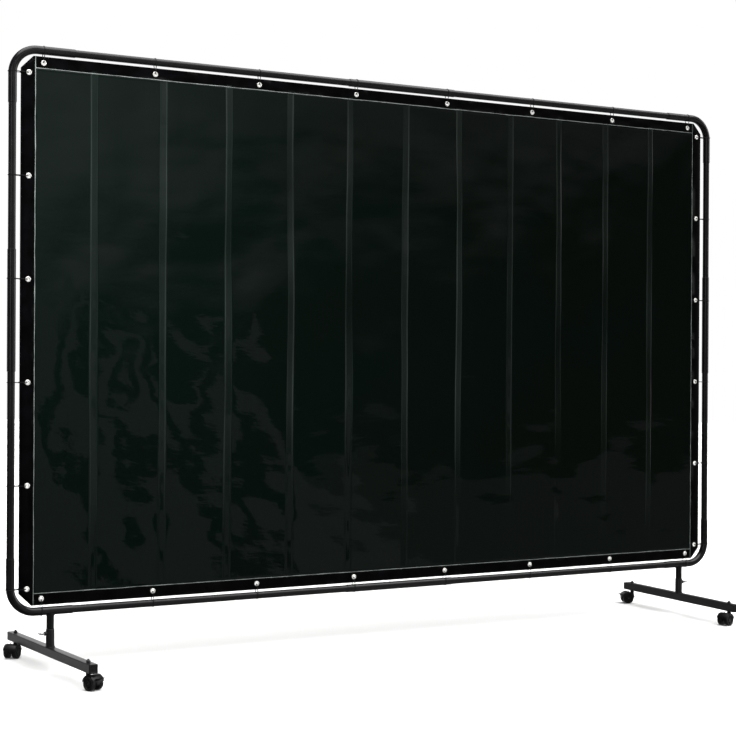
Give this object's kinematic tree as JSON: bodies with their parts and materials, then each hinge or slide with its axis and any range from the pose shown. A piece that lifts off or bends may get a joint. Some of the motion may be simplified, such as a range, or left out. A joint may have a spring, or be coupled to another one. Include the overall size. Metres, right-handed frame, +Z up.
{
  "type": "welding curtain screen",
  "caption": "Free-standing welding screen: dark green vinyl curtain tied by its grommets inside a round-cornered black tube frame on casters.",
  "frame": {"origin": "on the floor, midway between the two foot posts, in the plane of the frame's tubes", "axes": "+X along the screen to the right seen from its front, +Y to its back, +Z up"},
  "size_m": [3.048, 0.7614, 2.104],
  "materials": {
    "frame_steel": "gloss black powder coat",
    "foot_steel": "satin black powder coat",
    "curtain_vinyl": "gloss dark green tinted vinyl sheet",
    "hem_vinyl": "semi-gloss black vinyl, welded",
    "zinc_bolt": "zinc plated",
    "caster_metal": "zinc plated, dull",
    "wheel_plastic": "moulded black nylon wheel",
    "black_plastic": "moulded black plastic"
  },
  "bodies": {
    "frame": {"bottom_hem": "hem_vinyl", "bottom_rail_coupling": "frame_steel", "bottom_rail_left_tube": "frame_steel", "bottom_rail_right_tube": "frame_steel", "curtain_sheet": "curtain_vinyl", "left_hem": "hem_vinyl", "left_stub_post": "frame_steel", "left_upright_coupling": "frame_steel", "left_upright_lower_tube": "frame_steel", "left_upright_upper_tube": "frame_steel", "lower_left_corner_bend": "frame_steel", "lower_right_corner_bend": "frame_steel", "right_hem": "hem_vinyl", "right_stub_post": "frame_steel", "right_upright_coupling": "frame_steel", "right_upright_lower_tube": "frame_steel", "right_upright_upper_tube": "frame_steel", "top_hem": "hem_vinyl", "top_rail_coupling": "frame_steel", "top_rail_left_tube": "frame_steel", "top_rail_right_tube": "frame_steel", "upper_left_corner_bend": "frame_steel", "upper_right_corner_bend": "frame_steel"},
    "left_foot": {"left_foot_bar": "foot_steel", "left_foot_socket": "foot_steel", "left_front_end_cap": "black_plastic", "left_rear_end_cap": "black_plastic", "left_front_stem": "caster_metal", "left_front_nut": "caster_metal", "left_rear_stem": "caster_metal", "left_rear_nut": "caster_metal"},
    "left_wing_bolt": {"left_wing_bolt": "zinc_bolt"},
    "left_front_caster": {"left_front_hood": "black_plastic", "left_front_axle": "caster_metal"},
    "left_front_wheel_a": {"left_front_wheel_a": "wheel_plastic"},
    "left_front_wheel_b": {"left_front_wheel_b": "wheel_plastic"},
    "left_front_brake_pedal": {"left_front_brake_pedal": "black_plastic"},
    "left_rear_caster": {"left_rear_hood": "black_plastic", "left_rear_axle": "caster_metal"},
    "left_rear_wheel_a": {"left_rear_wheel_a": "wheel_plastic"},
    "left_rear_wheel_b": {"left_rear_wheel_b": "wheel_plastic"},
    "right_foot": {"right_foot_bar": "foot_steel", "right_foot_socket": "foot_steel", "right_front_end_cap": "black_plastic", "right_rear_end_cap": "black_plastic", "right_front_stem": "caster_metal", "right_front_nut": "caster_metal", "right_rear_stem": "caster_metal", "right_rear_nut": "caster_metal"},
    "right_wing_bolt": {"right_wing_bolt": "zinc_bolt"},
    "right_front_caster": {"right_front_hood": "black_plastic", "right_front_axle": "caster_metal"},
    "right_front_wheel_a": {"right_front_wheel_a": "wheel_plastic"},
    "right_front_wheel_b": {"right_front_wheel_b": "wheel_plastic"},
    "right_rear_caster": {"right_rear_hood": "black_plastic", "right_rear_axle": "caster_metal"},
    "right_rear_wheel_a": {"right_rear_wheel_a": "wheel_plastic"},
    "right_rear_wheel_b": {"right_rear_wheel_b": "wheel_plastic"},
    "right_rear_brake_pedal": {"right_rear_brake_pedal": "black_plastic"}
  },
  "joints": [
    {"name": "left_foot_swivel", "type": "hinge", "parent": "frame", "child": "left_foot", "pos_m": [-1.371, 0, 0.11], "axis": [0, 0, 1], "range_deg": [-90, 90]},
    {"name": "left_wing_bolt_turn", "type": "hinge", "parent": "left_foot", "child": "left_wing_bolt", "pos_m": [-1.371, 0, 0.132], "axis": [-0.9986, -0.0523, 0], "range_deg": [0, 270]},
    {"name": "left_front_caster_swivel", "type": "hinge", "parent": "left_foot", "child": "left_front_caster", "pos_m": [-1.35389, -0.32655, 0.04], "axis": [0, 0, 1], "continuous": true},
    {"name": "left_front_wheel_a_roll", "type": "hinge", "parent": "left_front_caster", "child": "left_front_wheel_a", "pos_m": [-1.34529, -0.34896, 0.023], "axis": [0.9336, 0.3584, 0], "continuous": true},
    {"name": "left_front_wheel_b_roll", "type": "hinge", "parent": "left_front_caster", "child": "left_front_wheel_b", "pos_m": [-1.34529, -0.34896, 0.023], "axis": [0.9336, 0.3584, 0], "continuous": true},
    {"name": "left_front_brake_press", "type": "hinge", "parent": "left_front_caster", "child": "left_front_brake_pedal", "pos_m": [-1.33642, -0.37204, 0.03877], "axis": [0.9336, 0.3584, 0], "range_deg": [0, 18]},
    {"name": "left_rear_caster_swivel", "type": "hinge", "parent": "left_foot", "child": "left_rear_caster", "pos_m": [-1.38811, 0.32655, 0.04], "axis": [0, 0, 1], "continuous": true},
    {"name": "left_rear_wheel_a_roll", "type": "hinge", "parent": "left_rear_caster", "child": "left_rear_wheel_a", "pos_m": [-1.40508, 0.30958, 0.023], "axis": [0.7071, -0.7071, 0], "continuous": true},
    {"name": "left_rear_wheel_b_roll", "type": "hinge", "parent": "left_rear_caster", "child": "left_rear_wheel_b", "pos_m": [-1.40508, 0.30958, 0.023], "axis": [0.7071, -0.7071, 0], "continuous": true},
    {"name": "right_foot_swivel", "type": "hinge", "parent": "frame", "child": "right_foot", "pos_m": [1.371, 0, 0.11], "axis": [0, 0, 1], "range_deg": [-90, 90]},
    {"name": "right_wing_bolt_turn", "type": "hinge", "parent": "right_foot", "child": "right_wing_bolt", "pos_m": [1.371, 0, 0.132], "axis": [0.9986, -0.0523, 0], "range_deg": [0, 270]},
    {"name": "right_front_caster_swivel", "type": "hinge", "parent": "right_foot", "child": "right_front_caster", "pos_m": [1.35389, -0.32655, 0.04], "axis": [0, 0, 1], "continuous": true},
    {"name": "right_front_wheel_a_roll", "type": "hinge", "parent": "right_front_caster", "child": "right_front_wheel_a", "pos_m": [1.33033, -0.33113, 0.023], "axis": [0.1908, -0.9816, 0], "continuous": true},
    {"name": "right_front_wheel_b_roll", "type": "hinge", "parent": "right_front_caster", "child": "right_front_wheel_b", "pos_m": [1.33033, -0.33113, 0.023], "axis": [0.1908, -0.9816, 0], "continuous": true},
    {"name": "right_rear_caster_swivel", "type": "hinge", "parent": "right_foot", "child": "right_rear_caster", "pos_m": [1.38811, 0.32655, 0.04], "axis": [0, 0, 1], "continuous": true},
    {"name": "right_rear_wheel_a_roll", "type": "hinge", "parent": "right_rear_caster", "child": "right_rear_wheel_a", "pos_m": [1.36542, 0.33437, 0.023], "axis": [-0.3256, -0.9455, 0], "continuous": true},
    {"name": "right_rear_wheel_b_roll", "type": "hinge", "parent": "right_rear_caster", "child": "right_rear_wheel_b", "pos_m": [1.36542, 0.33437, 0.023], "axis": [-0.3256, -0.9455, 0], "continuous": true},
    {"name": "right_rear_brake_press", "type": "hinge", "parent": "right_rear_caster", "child": "right_rear_brake_pedal", "pos_m": [1.34204, 0.34242, 0.03877], "axis": [-0.3256, -0.9455, 0], "range_deg": [0, 18]}
  ]
}
